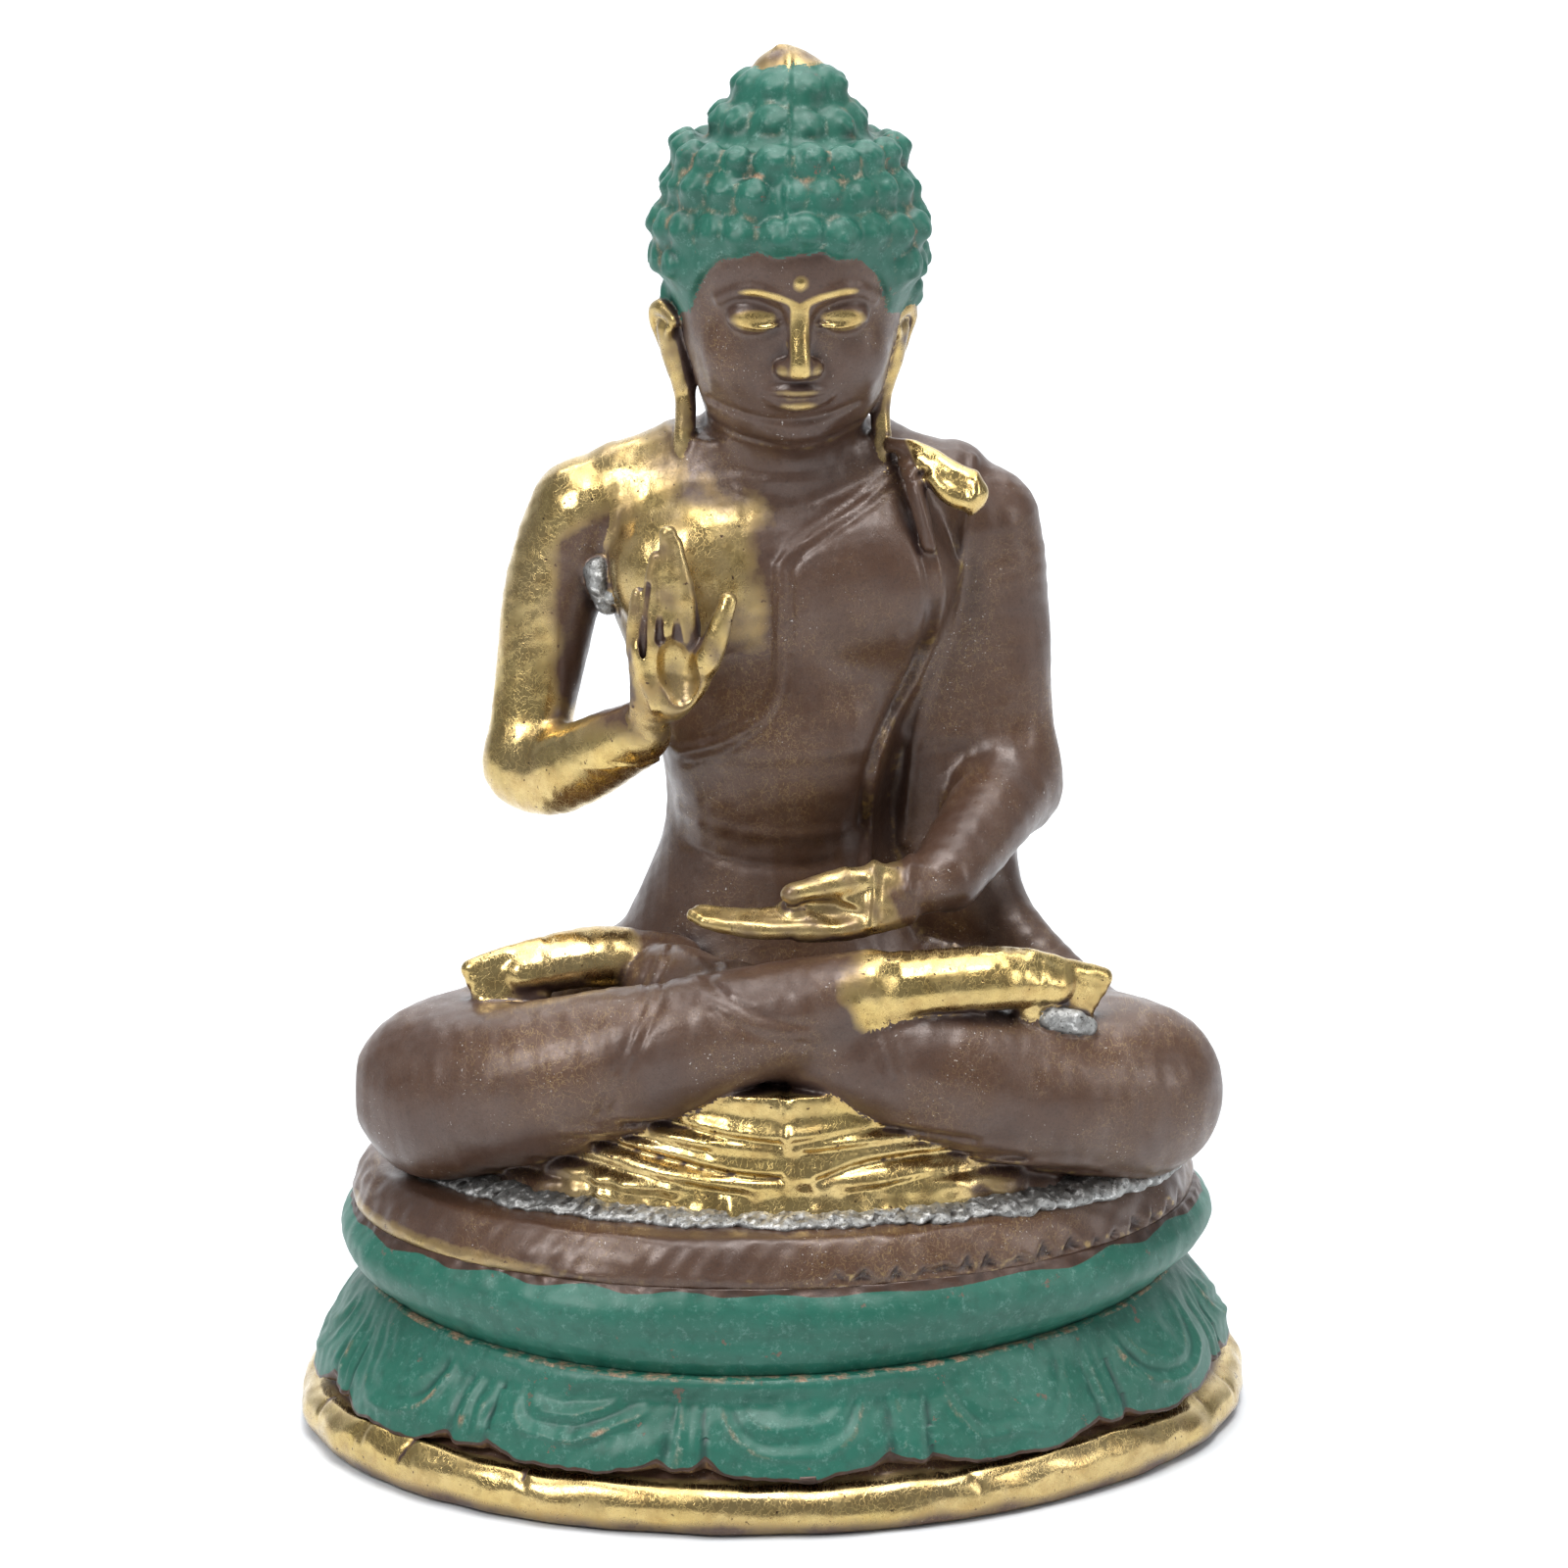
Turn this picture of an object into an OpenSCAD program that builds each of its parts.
// Seated teaching Buddha on a double lotus throne: brass castings soldered and brazed together.
// Millimetres. +Z up, the statue faces -Y, the origin is on the table under the middle of the foot rim.
// The statue's own right hand, the raised one, is on the -X side.

/* [Figure] */
// Height of the figure above the deck of the throne
figure_h = 137; // [115:1:165]
// Sideways reach of each knee, from the figure's middle to the middle of the kneecap
knee_reach = 43.5; // [38:0.5:50]
// Half of the distance between the shoulder joints
shoulder_reach = 26; // [22:0.5:31]
// Radius of the upper arms at their middle
arm_r = 5.6; // [4.6:0.1:6.8]
// Radius of the thighs at their middle
thigh_r = 12.5; // [10.5:0.1:15]
// Radius of the neck
neck_r = 9.6; // [8:0.1:11]
// Half width of the face at the cheekbones
face_half_w = 13.6; // [12:0.1:15]
// Thickness of the cast wall of the torso
torso_wall = 3; // [2:0.1:4]

/* [Hands and feet] */
// Radius of a finger at its middle
finger_r = 1.45; // [1.2:0.05:1.75]
// Length of the middle finger of the raised hand
finger_len = 14.5; // [12:0.5:17.5]
// Radius of the feet at the instep
foot_r = 4.2; // [3.5:0.1:5]

/* [Hair] */
// Radius of one snail curl
curl_r = 2.35; // [1.95:0.05:2.8]
// Height of the topknot's rows of curls
topknot_h = 8.6; // [7:0.1:10]

/* [Lotus throne] */
// Height of the foot rim
foot_h = 7; // [5:0.1:9]
// Height of the lower ring of petals
skirt_h = 10.8; // [9:0.1:13.5]
// Height of the upper lotus bowl
bowl_h = 10.7; // [9:0.1:13]
// Height of the deck plate, with its rounded shoulder
deck_h = 5.5; // [4.5:0.1:7]
// Width of the deck's flat top in front of the figure
deck_margin = 5; // [4:0.1:7]
// How far the bowl swells out past the deck
bowl_swell = 2; // [1:0.1:3.5]
// How far the foot rim stands out past the bowl at the sides
foot_flare = 5; // [4:0.1:8]
// Thickness of the cast walls of the throne
throne_wall = 3.2; // [2.4:0.1:4]
// Depth of the groove between the bowl and the lower petals
waist_groove = 5; // [3.5:0.1:6.5]
// Number of large petals round the lower ring
petal_count = 12; // [9:1:15]

/* [Solder] */
// Width of the solder fillet between figure and deck
solder_w = 2.4; // [1.6:0.1:3]
// Height of the solder fillet
solder_h = 2; // [1.2:0.1:2.6]

/* [Hidden] */

// The figure is drawn at this height and scaled to figure_h.
drawn_h = 137;
k = figure_h / drawn_h;
figure_x = 1.2;                      // the figure sits this far off the throne's middle
skew = 0.08;                         // the throne's plan leans sideways by this share of its depth
plan_n = 72;                         // points round a plan outline
body_n = 32;                         // points round a body section
limb_fn = 13;
fine_fn = 12;

// Heights of the throne's joints, from the table up
skirt_z = foot_h;
bowl_z = skirt_z + skirt_h;
deck_z = bowl_z + bowl_h;
seat_z = deck_z + deck_h;

// Half widths and half depths of the throne, worked outwards from the figure's footprint
footprint = [49 * k, 35 * k];
deck_flat = footprint + [deck_margin - 4, deck_margin];
deck_edge = deck_flat + [3, 3.6];
belly = deck_edge + [bowl_swell, bowl_swell];
waist = belly - [waist_groove, waist_groove];
foot_edge = belly + [foot_flare, foot_flare + 1.4];
petal_edge = foot_edge - [1.4, 1.8];
rim_inner = foot_edge - [7, 7];

colour_skin = [0.27, 0.17, 0.12];
colour_brass = [0.72, 0.56, 0.24];
colour_green = [0.10, 0.40, 0.34];
colour_solder = [0.66, 0.66, 0.65];

// ---------- shape tools ----------

// One ring of n points: an oval with half axes h, centred at c, at height z
function oval(h, z, c = [0, 0], n = plan_n, lift = 0, lean = skew) =
    [for (i = [0 : n - 1]) let (t = 360 * i / n)
        [c[0] + h[0] * cos(t) + lean * h[1] * sin(t), c[1] + h[1] * sin(t), z + lift * pow(cos(t), 2)]];

function quads(m, n, last) =
    [for (i = [0 : last], j = [0 : n - 1])
        let (a = (i % m) * n + j, b = ((i + 1) % m) * n + j,
             c = ((i + 1) % m) * n + (j + 1) % n, d = (i % m) * n + (j + 1) % n)
        each [[a, b, c], [a, c, d]]];

// Closed skin over a stack of rings, capped at both ends
module skin(rings) {
    m = len(rings);
    n = len(rings[0]);
    polyhedron([for (r = rings) each r],
        concat(quads(m, n, m - 2), [[for (j = [0 : n - 1]) j]],
               [[for (j = [n - 1 : -1 : 0]) (m - 1) * n + j]]));
}

// Closed ring-shaped solid: the last ring joins the first
module band(rings) {
    m = len(rings);
    n = len(rings[0]);
    polyhedron([for (r = rings) each r], quads(m, n, m - 1));
}

// Chain of rounded cones through points [x, y, z, radius]
module limb(points, fn = limb_fn) {
    for (i = [0 : len(points) - 2])
        hull() {
            translate([points[i][0], points[i][1], points[i][2]]) sphere(points[i][3], $fn = fn);
            translate([points[i + 1][0], points[i + 1][1], points[i + 1][2]])
                sphere(points[i + 1][3], $fn = fn);
        }
}

// A smooth curve through the middle of each leg of a route of [x, y, z, radius]
function rounded(p, steps = 4) =
    concat([p[0]],
        [for (i = [1 : len(p) - 2], s = [0 : steps])
            let (u = s / steps, a = (p[i - 1] + p[i]) / 2, b = (p[i] + p[i + 1]) / 2)
            a * pow(1 - u, 2) + p[i] * 2 * u * (1 - u) + b * pow(u, 2)],
        [p[len(p) - 1]]);

// Puts the figure, drawn from the deck up and about its own middle, in its place on the throne
module on_deck() {
    translate([figure_x, 0, seat_z]) scale(k) children();
}

// ---------- the figure, drawn with z = 0 at the deck ----------

torso_x = -0.8;                      // the torso leans a little to its right
// Torso sections: [height, half width, half depth, middle's y]
torso_sections = [
    [0, 24, 20, 8], [12, 24, 19, 8], [22, 21.5, 16.5, 8], [30, 17.6, 14, 7.5], [37, 14.2, 12.4, 7],
    [43, 13.4, 12, 7], [51, 15, 12.6, 7], [61, 18.6, 13.6, 7.5], [70, shoulder_reach - 4, 14.4, 8],
    [78, shoulder_reach - 1.6, 14, 9], [83, shoulder_reach - 2, 12, 9.6],
    [86.5, shoulder_reach - 8, 9.4, 9.4], [88.6, neck_r + 2.4, neck_r, 8.4]];
function torso_rings(inset) =
    [for (s = torso_sections) oval([s[1] - inset, s[2] - inset], s[0], [torso_x, s[3]], body_n, lean = 0)];
cavity_top = 9;                      // the hollow of the torso ends at this section

module torso_outer() { skin(torso_rings(0)); }

module torso_shell() {
    outer = torso_rings(0);
    inner = torso_rings(torso_wall / k);
    m = len(outer);
    n = body_n;
    up = [for (r = outer) each r];
    down = [for (i = [cavity_top : -1 : 0]) each inner[i]];
    rows = m + cavity_top + 1;
    // the outer skin, the neck cap, the inner skin, its roof and the flat foot between them
    polyhedron(concat(up, down), concat(
        quads(rows, n, m - 2),
        [[for (j = [n - 1 : -1 : 0]) (m - 1) * n + j]],
        [[for (j = [0 : n - 1]) m * n + j]],
        [for (i = [m : rows - 2], j = [0 : n - 1])
            let (a = i * n + j, b = (i + 1) * n + j, c = (i + 1) * n + (j + 1) % n, d = i * n + (j + 1) % n)
            each [[a, b, c], [a, c, d]]],
        [for (j = [0 : n - 1])
            let (a = (rows - 1) * n + j, b = j, c = (j + 1) % n, d = (rows - 1) * n + (j + 1) % n)
            each [[a, b, c], [a, c, d]]]));
}

knee_z = 11;
knee_y = -15;
// A whole leg, from the hip out to the knee and back along the shin, on side s
function leg_route(s, rise) = [
    [s * 13, 9, 14, thigh_r], [s * 30, -3, 13.5, thigh_r], [s * knee_reach, knee_y, knee_z, 9.8],
    [s * 27, -24.5, 14.5 + rise, 10], [s * 12, -27.5, 19.5 + rise, 7.8]];
ankle_r = 6.2;

module right_leg_solid() {
    limb(concat(rounded(leg_route(-1, 1), 3), [[3, -29, 25.2, ankle_r], [10, -29, 27, ankle_r - 1]]));
}
module left_leg_solid() {
    limb(concat(rounded(leg_route(1, -0.5), 3), [[-4, -24, 22.6, ankle_r], [-14, -14, 23.4, ankle_r - 0.6]]));
}

// The statue's right foot lies sole up on the left thigh, and its left foot on the right thigh
right_foot_route = [[10, -29, 27, foot_r + 0.4], [18, -28, 28, foot_r - 0.2], [26, -26, 28.4, foot_r + 0.6],
                    [32, -23.5, 27, foot_r - 0.4], [38, -20.5, 25, foot_r - 1.2]];
left_foot_route = [[-18, -10, 25, foot_r], [-26, -12.5, 25.6, foot_r], [-33, -14.5, 24.4, foot_r - 0.6],
                   [-38, -15.5, 23, foot_r - 1.3]];

right_arm_route = [[-shoulder_reach + 1.8, 9, 77.6, arm_r + 2], [-shoulder_reach - 3, 8, 70, arm_r + 0.3],
                   [-shoulder_reach - 5, 6.5, 58, arm_r - 0.2], [-shoulder_reach - 7, 3, 44, arm_r - 0.1],
                   [-24, -4, 50, arm_r - 0.4], [-16.5, -10.5, 55.6, arm_r - 1.2]];
left_arm_route = [[shoulder_reach - 2, 9, 76.6, arm_r + 2], [shoulder_reach + 1, 8.5, 69, arm_r + 0.3],
                  [shoulder_reach + 1.5, 8, 57, arm_r], [shoulder_reach + 1.8, 6, 40, arm_r + 0.3],
                  [23.5, -5, 41.5, arm_r], [19.5, -14, 37.5, arm_r - 0.9]];

module right_arm_solid() { limb(rounded(right_arm_route, 3)); }
module left_arm_solid() { limb(rounded(left_arm_route, 3)); }

// An open hand drawn palm to -Y, fingers to +Z, wrist at the origin, thumb on the +X side
module open_hand(length) {
    hull() {
        translate([0, 0, 1.5]) sphere(3.4, $fn = fine_fn);
        translate([-3.6, -0.4, 11]) sphere(2.2, $fn = fine_fn);
        translate([3, -0.4, 11]) sphere(2.2, $fn = fine_fn);
    }
    // fingers: [sideways place, share of the length, lean]
    for (f = [[-3.9, 0.62, -0.6], [-1.5, 0.93, 0.5], [0.8, 1, 0.2], [3, 0.9, -0.9]])
        limb([[f[0], -0.4, 10.5, finger_r + 0.2], [f[0] + f[2] / 2, -0.6, 10.5 + length * f[1] / 2, finger_r],
              [f[0] + f[2], 0, 10.5 + length * f[1], finger_r - 0.2]], fine_fn);
    limb([[2, -0.6, 4, 2.4], [5.6, -1.4, 9, 1.9], [7.4, -2, 14, finger_r], [7.2, -1.8, 18.5, finger_r - 0.1]],
        fine_fn);
}

module right_hand_solid() { translate([-14.4, -13.6, 53.2]) rotate([4, 0, 2]) open_hand(finger_len); }
module left_hand_solid() {
    translate([18.6, -15.5, 36.6]) rotate([0, 0, 14]) rotate([-72, 0, 0]) rotate([0, -86, 0])
        open_hand(finger_len + 2);
}

// The middle of the head's crown
crown = [0.7, 4.4, 113];
module head_solid() {
    hull() {
        translate(crown) sphere(face_half_w + 0.8, $fn = 24);
        translate([0.7, 2.6, 104]) sphere(face_half_w, $fn = 24);
    }
    hull() {
        translate([0.7, 2.6, 104]) sphere(face_half_w, $fn = 24);
        translate([0.7, -3.8, 96]) sphere(6.5, $fn = 20);
    }
    limb([[0, 8.4, 86, neck_r + 1.6], [0, 8, 89, neck_r], [0, 6.5, 93, neck_r], [0, 6, 97, neck_r],
          [0, 6, 99, neck_r], [0, 6, 101, neck_r], [0, 6, 103, neck_r]], 20);
}

// Rows of snail curls: [height above the crown's middle, radius of the row, how far round from the
// back it runs, number of curls in a whole turn]
skull_r = face_half_w + 1.8;
curl_rows = [for (i = [0 : 5])
    let (up = [-11.4, -7.1, -2.8, 1.6, 6, 10][i])
    [up, sqrt(pow(skull_r, 2) - pow(up, 2)), [70, 100, 124, 180, 180, 180][i],
     round(2 * PI * sqrt(pow(skull_r, 2) - pow(up, 2)) / (1.84 * curl_r))]];
knot_base = 13;                      // height of the topknot's lowest row above the crown's middle
knot_rows = [for (i = [0 : 1]) [knot_base + topknot_h * i / 2, 8.2 - 2.9 * i]];

module curl() { hull() sphere(curl_r, $fn = 6); }

module hair_solid() {
    difference() {
        hull() {
            translate(crown) sphere(skull_r - 0.3, $fn = 24);
            translate(crown + [0, 3.4, -8]) sphere(12, $fn = 20);
        }
        // clears the face and the neck below the hairline
        translate([-30, -40, 60]) cube([60, 40 + 8.5, 45]);
        translate([-30, -40, 95]) cube([60, 36, crown[2] - 95 + 1]);
    }
    hull() {
        translate(crown + [0, 1, 8]) cylinder(r = 9.4, h = knot_base - 7, $fn = 24);
        translate(crown + [0, 1, knot_base]) cylinder(r = 4, h = topknot_h * 0.8, $fn = 20);
    }
    for (row = curl_rows, i = [0 : row[3] - 1]) {
        turn = 360 * i / row[3] - 180;
        if (abs(turn) <= row[2])
            translate(crown + [row[1] * sin(turn), row[1] * cos(turn), row[0]]) curl();
    }
    for (row = knot_rows) let (count = round(2 * PI * row[1] / (1.84 * curl_r)))
        for (i = [0 : count - 1])
            let (turn = 360 * i / count)
                translate(crown + [row[1] * sin(turn), 1 + row[1] * cos(turn), row[0]]) curl();
}

finial_z = crown[2] + knot_base + topknot_h * 0.8;
finial_rows = [[0, 4.4], [0.8, 4.2], [1.6, 3.4], [2.2, 2.4]];   // [height, radius] up to the neck of the tip
module finial_solid() {
    at = crown + [0, 1, 0];
    limb(concat([for (r = finial_rows) [at[0], at[1], finial_z - 1.5 + r[0], r[1] - 0.6]],
        [[at[0], at[1], finial_z + 1.8, 1.5], [at[0] + 0.2, at[1] - 0.3, drawn_h - 0.8, 0.8]]), fine_fn);
}

// A long-lobed ear on side s
function ear_route(s) = [
    [s * 15.4, 5, 103.5, 1.4], [s * 15.8, 6, 101, 2], [s * 15.2, 5.8, 98, 1.9], [s * 14.4, 5, 95, 1.6],
    [s * 13.8, 4.4, 92, 1.5], [s * 13.6, 4, 89.5, 1.6], [s * 13.5, 3.4, 87.6, 1.8], [s * 13.4, 3, 86.4, 1.6]];
module ear_solid(s) { translate([crown[0], 0, 0]) limb(ear_route(s), 10); }

// The hem's pleats run level: ridges stand pleat_d proud of the grooves between them
pleat_d = 0.6;
hem_top = 15.6;
hem_rows = [for (i = [0 : 8]) let (z = hem_top * i / 8, ridge = i % 2 == 0 ? 0 : -pleat_d)
    [z, 45 - 22 * pow(z / hem_top, 1.3) + ridge, 32.4 - 2 * z / hem_top + ridge]];

module hem_solid() {
    difference() {
        skin([for (r = hem_rows) oval([r[1], r[2]], r[0], [0, -3], 48, lean = 0)]);
        translate([-50, -8, -1]) cube([100, 60, 30]);
    }
}

module sash_solid() {
    limb([[14.5, 2, 87, 2], [18, -1.5, 85.5, 2.2], [21.5, -3, 82.5, 2.4], [23.5, -3.5, 80, 2],
          [22, -4, 78.5, 1.4]], 10);
    limb([[14.5, 2, 87, 2], [15.5, -3, 84, 1.2], [16.6, -5, 79, 1], [17, -5.6, 74, 1]], 10);
}

// The robe hangs between the left arm and the torso and spreads over the hip and the thigh
module drape_solid() {
    limb([[20, 9, 71, 5], [20.5, 9, 62, 6], [21, 9, 52, 6], [22.5, 8, 43, 6.4], [25, 6, 35, 6.6],
          [28, 2, 29.5, 6], [33, -3, 26, 4.6], [38, -6, 22.5, 3]], fine_fn);
    limb([[17, 9, 56, 5], [17.5, 8, 47, 5.6], [19, 7, 38, 6], [21, 4, 31, 5.6]], fine_fn);
}

// ---------- the parts ----------

module foot_rim() {
    color(colour_brass) band([
        oval(foot_edge - [2.6, 2.6], 0), oval(foot_edge - [0.5, 0.5], 1), oval(foot_edge, 2.4),
        oval(foot_edge - [0.3, 0.3], 4.2), oval(foot_edge - [2, 2], 6), oval(foot_edge - [3.4, 3.4], foot_h),
        oval(rim_inner, foot_h), oval(rim_inner, 0)]);
}

// Petal outline round the ring: 1 across a large petal, less on the small one beside it, 0 in the notches
small_share = 0.2;                   // the small petal's share of a pair's width
petal_turn = 0.117;                  // share of a pair by which the ring of petals is turned
function lobe(t) = let (u = (t * petal_count / 360 + petal_turn) % 1, big = 1 - small_share)
    u < big ? pow(sin(180 * u / big), 0.4) : 0.6 * pow(sin(180 * (u - big) / small_share), 0.5);
function petal_ring(h, z, bulge, droop) =
    [for (i = [0 : plan_n - 1])
        let (t = 360 * i / plan_n, p = lobe(t), x = h[0] + bulge * p, y = h[1] + bulge * p)
        [x * cos(t) + skew * y * sin(t), y * sin(t), z - droop * p]];

module lower_lotus() {
    color(colour_green) band([
        oval(foot_edge - [3.4, 3.4], skirt_z),
        petal_ring(petal_edge - [1, 1], skirt_z + 1.9, 1, 1.4),
        petal_ring(petal_edge - [1.2, 1.2], skirt_z + 3.6, 1.2, 0.8),
        petal_ring(petal_edge - [3.4, 3], skirt_z + 6.2, 1, 0),
        oval(waist + [1.2, 1.2], bowl_z - 2.6, lift = 1.4), oval(waist, bowl_z, lift = 1.6),
        oval(waist - [throne_wall, throne_wall], bowl_z, lift = 1.6),
        oval(waist + [0.6 - throne_wall, 0.6 - throne_wall], bowl_z - 4),
        oval(rim_inner, skirt_z)]);
}

module upper_lotus() {
    wall = [throne_wall, throne_wall];
    outline = [[waist, bowl_z, 1.6], [belly - [2, 2] * waist_groove / 5, bowl_z + 0.2 * bowl_h, 1.2],
               [belly, bowl_z + 0.46 * bowl_h, 0.6],
               [belly - [0.5, 0.5] * bowl_swell / 2, bowl_z + 0.72 * bowl_h, 0.2],
               [deck_edge, deck_z, 0]];
    color(colour_green) band(concat(
        [for (r = outline) oval(r[0], r[1], lift = r[2])],
        [for (i = [len(outline) - 1 : -1 : 0]) let (r = outline[i]) oval(r[0] - wall, r[1], lift = r[2])]));
}

module seat_deck() {
    color(colour_skin) skin([
        oval(deck_edge - [throne_wall + 4, throne_wall + 4], seat_z - throne_wall),
        oval(deck_edge - [throne_wall, throne_wall], deck_z),
        oval(deck_edge, deck_z), oval(deck_edge - [0.5, 0.6], deck_z + 0.36 * deck_h),
        oval(deck_edge - [1.4, 1.7], deck_z + 0.72 * deck_h),
        oval(deck_edge - [2.2, 2.7], deck_z + 0.93 * deck_h),
        oval(deck_flat, seat_z)]);
}

module torso() { color(colour_skin) on_deck() torso_shell(); }

module right_leg() {
    color(colour_skin) on_deck() difference() { floored() right_leg_solid(); torso_outer(); }
}

module left_leg() {
    color(colour_skin) on_deck() difference() {
        floored() left_leg_solid();
        torso_outer();
        right_leg_solid();
    }
}

// Cuts a shape off flat at the deck
module floored() {
    intersection() { children(); translate([-80, -80, 0]) cube([160, 160, 200]); }
}

module seat_hem() {
    color(colour_brass) on_deck() difference() {
        hem_solid();
        torso_outer();
        right_leg_solid();
        left_leg_solid();
    }
}

module right_foot() {
    color(colour_brass) on_deck() difference() {
        limb(rounded(right_foot_route, 3), fine_fn);
        right_leg_solid();
        left_leg_solid();
        torso_outer();
    }
}

module left_foot() {
    color(colour_brass) on_deck() difference() {
        limb(rounded(left_foot_route, 3), fine_fn);
        right_leg_solid();
        torso_outer();
    }
}

module right_arm() { color(colour_brass) on_deck() difference() { right_arm_solid(); torso_outer(); } }

module left_arm() { color(colour_skin) on_deck() difference() { left_arm_solid(); torso_outer(); } }

module right_hand() {
    color(colour_brass) on_deck() difference() { right_hand_solid(); right_arm_solid(); torso_outer(); }
}

module left_hand() {
    color(colour_brass) on_deck() difference() {
        left_hand_solid();
        left_arm_solid();
        torso_outer();
        right_leg_solid();
        left_leg_solid();
        limb(rounded(right_foot_route, 3), fine_fn);
    }
}

module sleeve_drape() {
    color(colour_skin) on_deck() difference() {
        drape_solid();
        torso_outer();
        left_arm_solid();
        left_leg_solid();
        limb(rounded(right_foot_route, 3), fine_fn);
    }
}

module shoulder_sash() {
    color(colour_brass) on_deck() difference() {
        sash_solid();
        torso_outer();
        left_arm_solid();
        ear_solid(1);
    }
}

module head() { color(colour_skin) on_deck() difference() { head_solid(); torso_outer(); } }

module hair() { color(colour_green) on_deck() difference() { hair_solid(); head_solid(); finial_solid(); } }

module topknot_finial() { color(colour_brass) on_deck() finial_solid(); }

module right_ear() {
    color(colour_brass) on_deck() difference() { ear_solid(-1); head_solid(); hair_solid(); torso_outer(); }
}

module left_ear() {
    color(colour_brass) on_deck() difference() { ear_solid(1); head_solid(); hair_solid(); torso_outer(); }
}

// The fillet follows the figure's footprint on the deck
module seat_solder() {
    out = footprint / k + [solder_w, solder_w] / 2 - [0.6, 0.6];
    color(colour_solder) on_deck() difference() {
        band([for (r = [[0, 0], [0.2, 0.5], [1.4, 1], [3.4, 1], [3.4, 0]])
            oval(out - [r[0], r[0]], solder_h * r[1], [0, -1], lean = 0)]);
        torso_outer();
        right_leg_solid();
        left_leg_solid();
        hem_solid();
    }
}

module armpit_solder() {
    color(colour_solder) on_deck() difference() {
        limb([[-22, 3, 71.5, 2.6], [-21.5, 3.5, 69, 2.6], [-21, 4, 66.5, 2.2]], fine_fn);
        torso_outer();
        right_arm_solid();
    }
}

module toe_solder() {
    color(colour_solder) on_deck() difference() {
        limb([[32, -26.5, 23, 1.8], [34, -26, 22.4, 2], [36.5, -25, 21.6, 1.6]], fine_fn);
        left_leg_solid();
        limb(rounded(right_foot_route, 3), fine_fn);
    }
}

foot_rim();
lower_lotus();
upper_lotus();
seat_deck();
torso();
right_leg();
left_leg();
seat_hem();
right_foot();
left_foot();
right_arm();
right_hand();
left_arm();
left_hand();
sleeve_drape();
shoulder_sash();
head();
hair();
topknot_finial();
right_ear();
left_ear();
seat_solder();
armpit_solder();
toe_solder();
